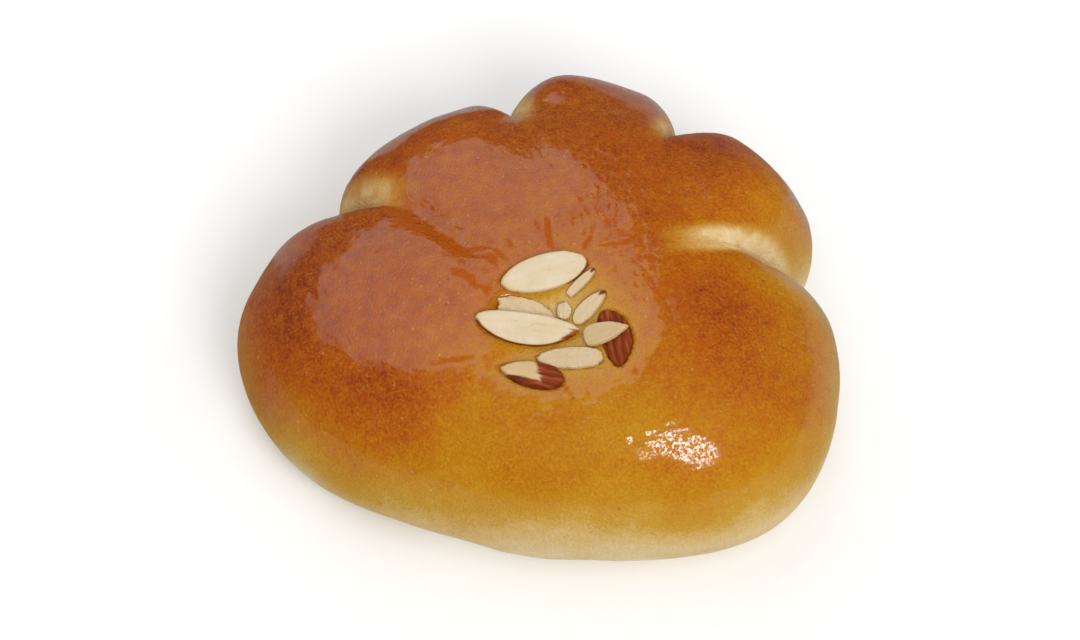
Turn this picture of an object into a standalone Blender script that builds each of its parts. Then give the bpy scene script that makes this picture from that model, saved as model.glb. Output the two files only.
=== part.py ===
"""Bear claw pastry: a soft, paw-shaped bun with four slits between its toes and almond pieces in a dimple on top.

The bun is one solid. Its skin is a grid of rings and columns round the point where the slits meet: a column
runs from the edge of the flat base, out over the widest line and up over the dome to that point. Columns
crowd at the slits, where the rings fold inward. Each almond piece is a thin slab of its own, laid on the
dough where it lies and pressed in a little. Sizes are in millimetres and become metres when a mesh is made.
"""
import math

import bmesh
import bpy
import numpy as np
from mathutils import Matrix, Vector

MM = 0.001

# Outline of the dough: half axes about the point where the slits meet, and how square each quarter is
FAN_X = 8.01
FAN_Y = -5.40
TURN = -2.1
REACH_RIGHT = 55.1
REACH_LEFT = 71.4
REACH_BACK = 60.65
REACH_FRONT = 49.3
SQUARE_BACK_RIGHT = 1.82
SQUARE_BACK_LEFT = 1.70
SQUARE_FRONT_LEFT = 1.82
SQUARE_FRONT_RIGHT = 3.00

# Swells and hollows of the outline: direction in degrees, half width in degrees, rise in millimetres
SWELLS = (
    ("behind the left toe", 165.0, 16.0, -2.4),
    ("lower left side", 206.7, 18.0, 2.7),
    ("left back toe", 131.2, 24.0, -1.8),
    ("right back toe", 37.3, 24.9, 1.3),
)

# Heights of the dome
HEIGHT = 46.0
WIDEST_AT = 15.0
BASE_INSET = 7.0
BASE_ARC = 62.0
ROUND_PLAN = 2.3
ROUND_SIDE = 2.2

# Slits: direction, depth of the notch, length inward, widths of the two rounded toe corners beside it
SLITS = (
    {"turn": 12.4, "notch": 13.2, "length": 27.3, "before": 25.9, "after": 15.6},
    {"turn": 62.1, "notch": 11.5, "length": 22.0, "before": 18.0, "after": 17.5},
    {"turn": 107.2, "notch": 5.0, "length": 20.0, "before": 23.2, "after": 11.1},
    {"turn": 155.2, "notch": 12.6, "length": 25.3, "before": 25.4, "after": 14.6},
)
SLIT_FOOT = 9.0
SLIT_LEAN = 3.0
SLIT_TIP_WIDTH = 0.35
SLIT_RUN_POWER = 1.2
SLIT_RISE_POWER = 0.9

# Puffed tops of the three back toes: the slits beside each, its rise, where the top stands between them,
# how steep its flanks are, and the climb of the dome in degrees at which it ends
TOES = (
    {"from": 0, "to": 1, "rise": 5.0, "skew": 0.75, "flanks": 1.6, "ends_at": 72.0},
    {"from": 1, "to": 2, "rise": 4.1, "skew": 2.2, "flanks": 1.4, "ends_at": 52.0},
    {"from": 2, "to": 3, "rise": 3.9, "skew": 0.85, "flanks": 1.6, "ends_at": 72.0},
)

# Valley between the left toe and its neighbour, from the slit's inner end on toward the almonds
VALLEY = {"start": (-29.5, 13.8), "end": (-7.0, -7.0), "half_width": 3.6, "depth": 1.7}

# Dimple that holds the almonds
DIMPLE_X = 3.2
DIMPLE_Y = -19.9
DIMPLE_DEPTH = 3.5
DIMPLE_RX = 15.0
DIMPLE_RY = 13.0

# Fold of dough low on the front left: direction, half width in degrees, height, half height, depth
FOLD = {"turn": 232.0, "spread": 16.0, "height": 6.5, "half_height": 2.6, "depth": 1.3}

# Grid of the skin: columns in each sector between slits, rings below and above the widest line
COLUMNS = (15, 14, 16, 50)
CROWDING = 0.90
RINGS_LOW = 6
RINGS_UP = 31

# Almond slabs: sides of the outline, how far a slab keeps clear, and the width of the dent around it
OUTLINE_SIDES = 24
CLEAR = 0.35
DENT_MARGIN = 2.6
DENT_SLOPE = 1.0

# An almond rests where it stands at this share of its length and width from its middle, and its outline
# and edge are rounded by this power and these rings of size and level
REST_SHARE = 0.35
WIDTH_POWER = 2.2
ALMOND_RINGS = ((0.82, -0.5), (1.0, -0.25), (1.0, 0.25), (0.84, 0.5))

# Almond pieces: place, turn, size, how pointed the two ends are (0.5 round, 1 sharp), where the piece is
# widest, sideways bow, arch across, tilts in degrees, and the height of its underside over the dough
ALMONDS = {
    "almond_oval": dict(x=1.4, y=-8.3, yaw=16.0, length=17.9, width=7.5, thick=1.8, tips=(0.62, 0.55),
                        widest=0.05, bow=0.0, arch=0.2, roll=5.0, pitch=0.0, lift=-0.5, skin=False),
    "almond_sliver": dict(x=8.9, y=-10.4, yaw=43.0, length=7.8, width=2.0, thick=1.4, tips=(0.25, 0.6),
                          widest=-0.2, bow=0.0, arch=0.0, roll=0.0, pitch=4.0, lift=-0.3, skin=False),
    "almond_chip": dict(x=-2.5, y=-15.9, yaw=-12.0, length=11.4, width=4.6, thick=1.5, tips=(0.3, 0.35),
                        widest=-0.2, bow=0.3, arch=0.1, roll=0.0, pitch=0.0, lift=-0.9, skin=False),
    "almond_crumb": dict(x=5.4, y=-16.2, yaw=82.0, length=3.6, width=3.0, thick=1.6, tips=(0.5, 0.5),
                         widest=0.0, bow=0.0, arch=0.2, roll=0.0, pitch=0.0, lift=-0.4, skin=False),
    "almond_long": dict(x=-1.9, y=-19.5, yaw=-6.0, length=20.6, width=6.5, thick=1.7, tips=(0.55, 0.7),
                        widest=0.0, bow=-1.1, arch=0.2, roll=13.0, pitch=0.0, lift=0.6, skin=False),
    "almond_shard": dict(x=10.6, y=-15.7, yaw=43.0, length=9.0, width=3.4, thick=1.4, tips=(0.4, 0.8),
                         widest=-0.2, bow=0.2, arch=0.1, roll=0.0, pitch=5.0, lift=-0.3, skin=False),
    "almond_leaf": dict(x=13.6, y=-22.0, yaw=4.0, length=9.4, width=4.6, thick=1.2, tips=(0.3, 1.1),
                        widest=-0.5, bow=0.0, arch=0.0, roll=0.0, pitch=12.0, lift=1.35, skin=False),
    "almond_skin": dict(x=14.9, y=-22.7, yaw=-78.0, length=12.6, width=6.4, thick=1.2, tips=(0.45, 0.8),
                        widest=-0.1, bow=1.0, arch=0.8, roll=0.0, pitch=0.0, lift=-1.0, skin=True),
    "almond_plate": dict(x=6.4, y=-26.5, yaw=-1.0, length=13.2, width=4.6, thick=1.6, tips=(0.7, 0.35),
                         widest=0.1, bow=0.0, arch=0.2, roll=5.0, pitch=0.0, lift=-0.5, skin=False),
    "almond_wedge": dict(x=-1.0, y=-30.0, yaw=-12.0, length=12.9, width=5.4, thick=2.2, tips=(0.9, 0.5),
                         widest=0.2, bow=0.0, arch=0.5, roll=6.0, pitch=0.0, lift=-0.7, skin=True),
}

# Colours, roughness: crust, pale almond, brown almond skin
CRUST = ((0.46, 0.17, 0.030), 0.32)
ALMOND = ((0.72, 0.56, 0.36), 0.45)
ALMOND_SKIN = ((0.24, 0.05, 0.014), 0.5)


def angle_between(a, b):
    """Signed angle from b to a, between -pi and pi."""
    return (a - b + np.pi) % (2 * np.pi) - np.pi


def outline(turn):
    """Distance from the fan point to the widest line of the dough in each direction, before the notches."""
    c = np.cos(turn - math.radians(TURN))
    s = np.sin(turn - math.radians(TURN))
    reach_x = np.where(c >= 0, REACH_RIGHT, REACH_LEFT)
    reach_y = np.where(s >= 0, REACH_BACK, REACH_FRONT)
    back = np.where(c >= 0, SQUARE_BACK_RIGHT, SQUARE_BACK_LEFT)
    front = np.where(c >= 0, SQUARE_FRONT_RIGHT, SQUARE_FRONT_LEFT)
    power = np.where(s >= 0, back, front)
    reach = (np.abs(c / reach_x) ** power + np.abs(s / reach_y) ** power) ** (-1 / power)
    for _, middle, spread, rise in SWELLS:
        reach = reach + rise * np.exp(-(angle_between(turn, math.radians(middle)) / math.radians(spread)) ** 2)
    return reach


def dome_rise(climb):
    """Height of the dome where a column has climbed by an angle from the widest line (0) to the top (90)."""
    return WIDEST_AT + (HEIGHT - WIDEST_AT) * np.sin(climb) ** (2 / ROUND_SIDE)


def dough_top(x, y):
    """Height of the smooth dome over a place on top, dimple included, away from the slits."""
    dx, dy = x - FAN_X, y - FAN_Y
    share = np.hypot(dx, dy) / outline(np.arctan2(dy, dx))
    climb = np.arccos(np.clip(share, 0, 1) ** (ROUND_PLAN / 2))
    return dome_rise(climb) - dimple(x, y)


def dimple(x, y):
    """Depth of the dimple: a bell centred under the almonds."""
    return DIMPLE_DEPTH * np.exp(-((x - DIMPLE_X) / DIMPLE_RX) ** 2 - ((y - DIMPLE_Y) / DIMPLE_RY) ** 2)


def smooth_step(low, high, value):
    """Zero below low, one above high, and a smooth cubic rise between them."""
    t = np.clip((value - low) / (high - low), 0, 1)
    return t * t * (3 - 2 * t)


def valley(x, y):
    """Depth of the valley: a bell across its line, which rises before its start and fades toward its end."""
    start, end = np.array(VALLEY["start"]), np.array(VALLEY["end"])
    length = np.linalg.norm(end - start)
    run = (end - start) / length
    along = (x - start[0]) * run[0] + (y - start[1]) * run[1]
    across = (y - start[1]) * run[0] - (x - start[0]) * run[1]
    ends = smooth_step(-0.3 * length, 0.25 * length, along) * smooth_step(0, 0.45 * length, length - along)
    return VALLEY["depth"] * ends * np.exp(-(across / VALLEY["half_width"]) ** 2)


def column_turns():
    """Directions of the columns: even in each sector, then drawn toward the slits at its two ends."""
    edges = [math.radians(slit["turn"]) for slit in SLITS]
    edges.append(edges[0] + 2 * math.pi)
    turns = []
    for start, end, count in zip(edges[:-1], edges[1:], COLUMNS):
        t = np.arange(count) / count
        t = t - CROWDING * np.sin(2 * np.pi * t) / (2 * np.pi)
        turns.append(start + (end - start) * t)
    return np.concatenate(turns)


def cusp(q):
    """One at the slit, falling to zero at the toe's shoulder, with the toe's corner a quarter circle."""
    q = np.clip(q, 0, 1)
    return 1 - np.sqrt(1 - (1 - q) ** 2)


def fold_depth(turn, z):
    """Depth of the groove where the dough folds over itself, low on the front left."""
    along = np.exp(-(angle_between(turn, math.radians(FOLD["turn"])) / math.radians(FOLD["spread"])) ** 4)
    across = np.exp(-((z - FOLD["height"]) / FOLD["half_height"]) ** 2)
    return FOLD["depth"] * along * across


def dough_grid():
    """Rings by columns of the dough's skin, from the edge of the base to the last ring round the fan point."""
    turn = column_turns()[None, :]
    reach = outline(turn)
    arc = math.radians(BASE_ARC)
    low = (np.arange(RINGS_LOW) / RINGS_LOW)[:, None]
    climb = (np.linspace(0, np.pi / 2, RINGS_UP + 1)[:-1])[:, None]
    under = (1 - low) * arc
    r_low = reach - BASE_INSET * (1 - np.cos(under)) / (1 - math.cos(arc))
    z_low = WIDEST_AT * (1 - np.sin(under) / math.sin(arc)) + 0 * reach
    r_low = r_low - fold_depth(turn, z_low)
    r_up = reach * np.cos(climb) ** (2 / ROUND_PLAN)
    z_up = dome_rise(climb) + 0 * reach
    for toe in TOES:
        swell = np.sin(np.pi * np.clip(climb / math.radians(toe["ends_at"]), 0, 1)) ** 2
        start = math.radians(SLITS[toe["from"]]["turn"])
        end = math.radians(SLITS[toe["to"]]["turn"])
        across = np.clip((turn - start) / (end - start), 0, 1)
        z_up = z_up + toe["rise"] * swell * np.sin(np.pi * across ** toe["skew"]) ** toe["flanks"]
    r_open = np.concatenate([r_low, r_up])
    r = r_open.copy()
    z = np.concatenate([z_low, z_up])
    for slit in SLITS:
        r, z = cut_slit(slit, turn, low, climb, r_open, r, z)
    x = FAN_X + r * np.cos(turn)
    y = FAN_Y + r * np.sin(turn)
    z = np.where(z > WIDEST_AT, z - dimple(x, y) - valley(x, y), z)
    return x, y, press_in(x, y, z)


def cut_slit(slit, turn, low, climb, r_open, r, z):
    """Draw the grid in to the floor of one slit: from the notch in the outline up to the slit's inner end."""
    away = angle_between(turn, math.radians(slit["turn"]))
    reach = outline(np.array([math.radians(slit["turn"])]))[0]
    r_notch = reach - slit["notch"]
    r_end = reach - slit["length"]
    climb_end = math.acos((r_end / reach) ** (ROUND_PLAN / 2))
    z_end = dome_rise(climb_end)
    u = np.clip(climb / climb_end, 0, 1)
    run_in = r_notch + (r_end - r_notch) * u ** SLIT_RUN_POWER
    rise = SLIT_FOOT + (z_end - SLIT_FOOT) * u ** SLIT_RISE_POWER
    floor_r = np.concatenate([r_notch - SLIT_LEAN * (1 - low), run_in])
    floor_z = np.concatenate([SLIT_FOOT * low, rise])
    side = np.where(away < 0, slit["before"], slit["after"])
    narrowing = np.concatenate([np.ones_like(low), 1 - (1 - SLIT_TIP_WIDTH) * u])
    fade = np.concatenate([np.ones_like(low), 1 - u ** 5])
    pull = cusp(np.abs(away) * r_open / (side * narrowing)) * fade
    pull = np.where(np.abs(away) > 1.2, 0, pull)
    return r * (1 - pull) + floor_r * pull, z * (1 - pull) + floor_z * pull


def almond_frame(piece):
    """Place an almond piece: the matrix that lays its own flat slab on the dough, tilted as listed."""
    yaw = math.radians(piece["yaw"])
    along = np.array([math.cos(yaw), math.sin(yaw)])
    across = np.array([-math.sin(yaw), math.cos(yaw)])
    spot = np.array([piece["x"], piece["y"]])
    reach_u, reach_v = REST_SHARE * piece["length"], REST_SHARE * piece["width"]
    tops = [float(dough_top(*(spot + step))) for step in
            (reach_u * along, -reach_u * along, reach_v * across, -reach_v * across)]
    slope_u = math.atan2(tops[0] - tops[1], 2 * reach_u) + math.radians(piece["pitch"])
    slope_v = math.atan2(tops[2] - tops[3], 2 * reach_v) + math.radians(piece["roll"])
    height = sum(tops) / 4 + piece["lift"] + piece["thick"] / 2
    turn = Matrix.Rotation(yaw, 4, "Z") @ Matrix.Rotation(-slope_u, 4, "Y") @ Matrix.Rotation(slope_v, 4, "X")
    return Matrix.Translation(Vector((piece["x"], piece["y"], height))) @ turn


def half_width(piece, s):
    """Half the width of an almond piece at s, which runs from -1 at its left tip to 1 at its right tip."""
    widest = piece["widest"]
    span = np.where(s < widest, 1 + widest, 1 - widest)
    q = np.clip(np.abs(s - widest) / span, 0, 1)
    tip = np.where(s < widest, piece["tips"][0], piece["tips"][1])
    return piece["width"] / 2 * (1 - q ** WIDTH_POWER) ** tip


def press_in(x, y, z):
    """Dent the dough under each almond piece, so that the piece lies in it and stays clear of it."""
    for piece in ALMONDS.values():
        frame = np.array(almond_frame(piece))
        centre, normal = frame[:3, 3], frame[:3, 2]
        dx, dy = x - centre[0], y - centre[1]
        under = (-piece["thick"] / 2 - normal[0] * dx - normal[1] * dy) / normal[2]
        u = dx * frame[0, 0] + dy * frame[1, 0] + under * frame[2, 0]
        v = dx * frame[0, 1] + dy * frame[1, 1] + under * frame[2, 1]
        s = np.clip(2 * u / piece["length"], -1, 1)
        beyond_tip = np.abs(u) - piece["length"] / 2
        beyond_side = np.abs(v - piece["bow"] * (1 - s ** 2)) - half_width(piece, s)
        outside = np.maximum(np.maximum(beyond_tip, beyond_side) - DENT_MARGIN, 0)
        limit = centre[2] + under - CLEAR + DENT_SLOPE * outside
        z = np.where(z > WIDEST_AT, np.minimum(z, limit), z)
    return z


def make_material(name, colour, roughness):
    material = bpy.data.materials.new(name)
    material.use_nodes = True
    shader = material.node_tree.nodes["Principled BSDF"]
    shader.inputs["Base Color"].default_value = (*colour, 1.0)
    shader.inputs["Roughness"].default_value = roughness
    shader.inputs["Metallic"].default_value = 0.0
    return material


def make_object(name, points, faces, look, sharp_angle):
    """One closed, smooth-shaded object from points in millimetres."""
    mesh = bpy.data.meshes.new(name)
    mesh.from_pydata([tuple(p) for p in points * MM], [], faces)
    body = bmesh.new()
    body.from_mesh(mesh)
    bmesh.ops.recalc_face_normals(body, faces=body.faces)
    body.to_mesh(mesh)
    body.free()
    mesh.shade_smooth()
    mesh.set_sharp_from_angle(angle=math.radians(sharp_angle))
    obj = bpy.data.objects.new(name, mesh)
    obj.data.materials.append(make_material(name + "_look", *look))
    bpy.context.collection.objects.link(obj)
    return obj


def ring_faces(rings, around):
    """Quads between neighbouring rings, each closed round, then fans to a last point before and after them."""
    faces = []
    for ring in range(rings - 1):
        for k in range(around):
            a, b = ring * around + k, ring * around + (k + 1) % around
            faces.append((a, b, b + around, a + around))
    bottom, top = rings * around, rings * around + 1
    last = (rings - 1) * around
    for k in range(around):
        faces.append((bottom, (k + 1) % around, k))
        faces.append((last + k, last + (k + 1) % around, top))
    return faces


def make_bun():
    x, y, z = dough_grid()
    rings, around = x.shape
    grid = np.stack([x, y, z], axis=-1).reshape(-1, 3)
    middle_top = float(press_in(np.array(FAN_X), np.array(FAN_Y), np.array(HEIGHT) - dimple(FAN_X, FAN_Y)))
    ends = np.array([[FAN_X, FAN_Y, 0.0], [FAN_X, FAN_Y, middle_top]])
    return make_object("bun", np.concatenate([grid, ends]), ring_faces(rings, around), CRUST, 60)


def make_almond(name, piece):
    """A slab with rounded edges: rings of one outline, drawn in at the underside and the top."""
    turn = 2 * np.pi * np.arange(OUTLINE_SIDES) / OUTLINE_SIDES
    s = np.cos(turn)
    u = s * piece["length"] / 2
    v = np.sign(np.sin(turn)) * half_width(piece, s)
    points = []
    for size, level in ALMOND_RINGS:
        rise = level * piece["thick"] + piece["arch"] * (1 - size ** 2 * np.abs(np.sin(turn)))
        points.append(np.stack([u * size, v * size + piece["bow"] * (1 - s ** 2), rise], axis=-1))
    middle = [[0, piece["bow"], level * piece["thick"] + piece["arch"]] for level in (-0.5, 0.5)]
    grid = np.concatenate(points + [np.array(middle)])
    look = ALMOND_SKIN if piece["skin"] else ALMOND
    obj = make_object(name, grid, ring_faces(len(ALMOND_RINGS), OUTLINE_SIDES), look, 40)
    frame = almond_frame(piece)
    obj.location = frame.translation * MM
    obj.rotation_euler = frame.to_euler()
    return obj


def main():
    for obj in list(bpy.data.objects):
        bpy.data.objects.remove(obj, do_unlink=True)
    make_bun()
    for name, piece in ALMONDS.items():
        make_almond(name, piece)


main()
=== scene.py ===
"""Looks of a paw-shaped sweet bun: glossy egg-washed crust with almond pieces in its dimple.

The dough's skin and every almond slab are surfaces worked out on two-parameter grids, from the same sizes as
the construction, with finer steps and the relief that baking gives. Colours follow the bake: brown where the
oven and the egg wash reached, golden round the almonds, cream at the foot and on the walls of the slits.
Lengths are in millimetres and become metres when a mesh is made. Colours are linear.
"""
import math

import bpy
import numpy as np
from mathutils import Matrix, Vector


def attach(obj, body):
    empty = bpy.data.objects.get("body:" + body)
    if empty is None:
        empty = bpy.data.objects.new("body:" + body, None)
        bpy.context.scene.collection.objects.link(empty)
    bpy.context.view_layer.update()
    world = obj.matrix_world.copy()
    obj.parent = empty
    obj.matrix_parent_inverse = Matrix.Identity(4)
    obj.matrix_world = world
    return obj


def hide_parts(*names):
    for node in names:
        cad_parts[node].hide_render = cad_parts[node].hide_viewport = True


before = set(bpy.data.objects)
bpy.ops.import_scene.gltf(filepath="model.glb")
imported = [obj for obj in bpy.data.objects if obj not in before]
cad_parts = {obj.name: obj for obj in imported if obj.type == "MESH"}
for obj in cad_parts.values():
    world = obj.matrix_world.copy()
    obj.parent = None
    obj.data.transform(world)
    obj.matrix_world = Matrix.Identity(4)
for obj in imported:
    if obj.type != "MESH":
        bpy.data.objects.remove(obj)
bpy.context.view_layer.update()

MM = 0.001

# Outline of the dough: half axes about the point where the slits meet, and how square each quarter is
FAN_X = 8.01
FAN_Y = -5.40
TURN = -2.1
REACH_RIGHT = 55.1
REACH_LEFT = 71.4
REACH_BACK = 60.65
REACH_FRONT = 49.3
SQUARE_BACK_RIGHT = 1.82
SQUARE_BACK_LEFT = 1.70
SQUARE_FRONT_LEFT = 1.82
SQUARE_FRONT_RIGHT = 3.00

# Swells and hollows of the outline: direction in degrees, half width in degrees, rise
SWELLS = (
    ("behind the left toe", 165.0, 16.0, -2.4),
    ("lower left side", 206.7, 18.0, 2.7),
    ("left back toe", 131.2, 24.0, -1.8),
    ("right back toe", 37.3, 24.9, 1.3),
)

# Heights of the dome
HEIGHT = 46.0
WIDEST_AT = 15.0
BASE_INSET = 7.0
BASE_ARC = 62.0
ROUND_PLAN = 2.3
ROUND_SIDE = 2.2

# Slits: direction, depth of the notch, length inward, widths of the two rounded toe corners beside it, and
# the pale dough: how far it reaches up the two walls at the notch, how many times as far at the inner end,
# the share of the slit that it runs along, and how pale it is
SLITS = (
    {"turn": 12.4, "notch": 13.2, "length": 27.3, "before": 25.9, "after": 15.6,
     "pale": (0.9, 1.6, 2.5, 1.12, 0.88)},
    {"turn": 62.1, "notch": 11.5, "length": 22.0, "before": 18.0, "after": 17.5,
     "pale": (1.0, 5.0, 0.8, 0.92, 0.62)},
    {"turn": 107.2, "notch": 5.0, "length": 20.0, "before": 23.2, "after": 11.1,
     "pale": (6.2, 0.8, 0.8, 0.92, 0.70)},
    {"turn": 155.2, "notch": 12.6, "length": 25.3, "before": 25.4, "after": 14.6,
     "pale": (8.6, 0.8, 0.75, 0.96, 0.60)},
)
SLIT_FOOT = 9.0
SLIT_LEAN = 3.0
SLIT_TIP_WIDTH = 0.35
SLIT_RUN_POWER = 1.2
SLIT_RISE_POWER = 0.9
PALE_FADE_INWARD = 0.25

# Puffed tops of the three back toes: the slits beside each, its rise, where the top stands between them,
# how steep its flanks are, and the climb of the dome in degrees at which it ends
TOES = (
    {"from": 0, "to": 1, "rise": 5.0, "skew": 0.75, "flanks": 1.6, "ends_at": 72.0},
    {"from": 1, "to": 2, "rise": 4.1, "skew": 2.2, "flanks": 1.4, "ends_at": 52.0},
    {"from": 2, "to": 3, "rise": 3.9, "skew": 0.85, "flanks": 1.6, "ends_at": 72.0},
)

# Valley between the left toe and its neighbour, from the slit's inner end on toward the almonds
VALLEY = {"start": (-29.5, 13.8), "end": (-7.0, -7.0), "half_width": 3.6, "depth": 1.7}

# Dimple that holds the almonds
DIMPLE_X = 3.2
DIMPLE_Y = -19.9
DIMPLE_DEPTH = 3.5
DIMPLE_RX = 15.0
DIMPLE_RY = 13.0

# Fold of dough low on the front left: direction, half width in degrees, height, half height, depth
FOLD = {"turn": 232.0, "spread": 16.0, "height": 6.5, "half_height": 2.6, "depth": 1.3}

# Grid of the skin: columns in each sector between slits, how strongly they crowd toward the slits, and rings
# below and above the widest line
COLUMNS = (84, 84, 92, 230)
CROWDING = 0.78
RINGS_LOW = 20
RINGS_UP = 178

# Dent under an almond: how far the dough keeps below the piece, how steeply it rises beside it, how far in
# from the piece's outline that rise starts, and how far out a place counts as near the piece
CLEAR = 0.05
DENT_SLOPE = 5.0
BEDDED = 0.3
NEAR_REACH = 1.6

# Almond pieces: place, turn, size, how pointed the two ends are, where the piece is widest, sideways bow,
# arch across, tilts in degrees, and the height of its underside over the dough
ALMOND_KEYS = ("x", "y", "yaw", "length", "width", "thick", "tips", "widest", "bow", "arch", "roll", "pitch",
               "lift")
ALMOND_ROWS = {
    "almond_oval": (1.4, -8.3, 16.0, 17.9, 7.5, 1.8, (0.62, 0.55), 0.05, 0.0, 0.2, 5.0, 0.0, -0.5),
    "almond_sliver": (8.9, -10.4, 43.0, 7.8, 2.0, 1.4, (0.25, 0.6), -0.2, 0.0, 0.0, 0.0, 4.0, -0.3),
    "almond_chip": (-2.5, -15.9, -12.0, 11.4, 4.6, 1.5, (0.3, 0.35), -0.2, 0.3, 0.1, 0.0, 0.0, -0.9),
    "almond_crumb": (5.4, -16.2, 82.0, 3.6, 3.0, 1.6, (0.5, 0.5), 0.0, 0.0, 0.2, 0.0, 0.0, -0.4),
    "almond_long": (-1.9, -19.5, -6.0, 20.6, 6.5, 1.7, (0.55, 0.7), 0.0, -1.1, 0.2, 13.0, 0.0, 0.6),
    "almond_shard": (10.6, -15.7, 43.0, 9.0, 3.4, 1.4, (0.4, 0.8), -0.2, 0.2, 0.1, 0.0, 5.0, -0.3),
    "almond_leaf": (13.6, -22.0, 4.0, 9.4, 4.6, 1.2, (0.3, 1.1), -0.5, 0.0, 0.0, 0.0, 12.0, 1.35),
    "almond_skin": (14.9, -22.7, -78.0, 12.6, 6.4, 1.2, (0.45, 0.8), -0.1, 1.0, 0.8, 0.0, 0.0, -1.0),
    "almond_plate": (6.4, -26.5, -1.0, 13.2, 4.6, 1.6, (0.7, 0.35), 0.1, 0.0, 0.2, 5.0, 0.0, -0.5),
    "almond_wedge": (-1.0, -30.0, -12.0, 12.9, 5.4, 2.2, (0.9, 0.5), 0.2, 0.0, 0.5, 6.0, 0.0, -0.7),
}
ALMONDS = {name: dict(zip(ALMOND_KEYS, row)) for name, row in ALMOND_ROWS.items()}

# Finish of each almond piece: roughness of its top and outline, how wet and how golden it is, stretches of
# its rim that keep the brown skin, as directions round the rim in degrees and how far in the skin reaches,
# and a cut: past this place along the piece, or this far to its front, the skin covers the whole of it.
# Then the steps of a piece's grid, its relief, and the width of its yellow core
FINISHES = {
    "almond_oval": dict(rough=0.05, ragged=0.02, wet=0.1, gold=0.06, skins=((-66.0, 12.0, 0.02),)),
    "almond_sliver": dict(rough=0.03, ragged=0.03, wet=0.2, gold=0.34, skins=((-24.0, 24.0, 0.28),)),
    "almond_chip": dict(rough=0.55, ragged=0.12, wet=0.8, gold=0.42, skins=((48.0, 122.0, 0.02),)),
    "almond_crumb": dict(rough=0.45, ragged=0.10, wet=0.8, gold=0.36, skins=((-20.0, 100.0, 0.02),)),
    "almond_long": dict(rough=0.05, ragged=0.02, wet=0.1, gold=0.12,
                        skins=((190.0, 352.0, 0.035), (318.0, 360.0, 0.12))),
    "almond_shard": dict(rough=0.04, ragged=0.03, wet=0.3, gold=0.36,
                         skins=((-24.0, 30.0, 0.24), (30.0, 110.0, 0.04))),
    "almond_leaf": dict(rough=0.04, ragged=0.03, wet=0.3, gold=0.62, skins=()),
    "almond_skin": dict(rough=0.03, ragged=0.03, wet=0.0, gold=0.0, skins=((-181.0, 181.0, 1.6),)),
    "almond_plate": dict(rough=0.30, ragged=0.06, wet=1.0, gold=0.48, skins=()),
    "almond_wedge": dict(rough=0.04, ragged=0.03, wet=0.0, gold=0.62, skins=((40.0, 140.0, 0.02),),
                         cut=(1.4, -1.1)),
}
AROUND = 120
EDGE_RINGS = 13
FACE_SIZES = (0.12, 0.26, 0.40, 0.53, 0.65, 0.75)
RIDGE_DEPTH = 0.07
RIDGE_SIZE = 0.9
FIBRE_DEPTH = 0.02
CORE_WIDTH = 0.13

# Creases pressed into the crust: where each starts and ends in plan, its half width and its depth
CREASES = (
    ((1.6, 5.4), (3.0, -3.4), 0.62, 0.17),
    ((-0.9, 4.4), (0.3, 0.8), 0.40, 0.08),
    ((20.6, -0.9), (11.8, -2.6), 0.32, 0.12),
    ((11.2, 0.8), (8.6, -3.4), 0.50, 0.13),
    ((-6.4, 0.2), (-4.4, -3.0), 0.45, 0.10),
    ((-21.5, -27.5), (-12.0, -26.0), 0.45, 0.12),
    ((5.4, -31.6), (6.8, -34.6), 0.45, 0.20),
    ((18.4, -29.0), (20.0, -31.0), 0.40, 0.16),
)

# Uneven swelling of the whole crust: rise, size and seed of the lumps, and layers of noise
LUMPS = (
    (0.38, 24.0, 1, 3),
    (0.15, 8.0, 2, 1),
    (0.05, 3.2, 4, 1),
)

# Bands of broken, dark crust: line of the band in plan, half width, length and width of its wrinkles, and how
# full it is of them
WRINKLES = (
    ("valley beside the left toe", (-28.0, 6.6), (-15.5, -2.6), 2.3, 2.6, 0.95, 0.26),
    ("foot of the valley", (-18.5, -0.6), (-6.5, -7.0), 2.9, 2.6, 1.1, 0.24),
    ("branch below the valley", (-18.0, -6.2), (-9.5, -13.4), 1.9, 2.6, 1.0, 0.22),
    ("stretch lines at the slit's end", (-31.0, 9.0), (-20.0, 5.4), 3.0, 3.0, 0.6, 0.06),
    ("fringe of the left back toe", (-27.8, 4.6), (-27.8, 23.0), 1.5, 0.75, 2.2, 0.42),
    ("edge of the left back toe", (-27.5, 22.0), (-6.0, 33.5), 1.9, 1.8, 0.9, 0.26),
    ("behind the crown", (8.0, 30.0), (30.0, 25.0), 5.0, 1.5, 0.55, 0.10),
    ("right of the crown", (13.0, 27.0), (31.0, -3.0), 9.0, 1.8, 0.55, 0.10),
    ("between the crown and the right toes", (9.0, 12.0), (17.0, -4.0), 6.0, 2.0, 0.5, -0.04),
    ("beside the right slit", (31.5, 4.0), (30.0, -27.0), 5.5, 1.1, 0.8, 0.06),
    ("below the right slit", (18.0, -3.0), (31.0, -18.0), 5.0, 1.8, 0.55, 0.12),
)
WRINKLE_DEPTH = 0.06
WRINKLE_WANDER = 1.6
CREASE_WANDER = 0.5

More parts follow.
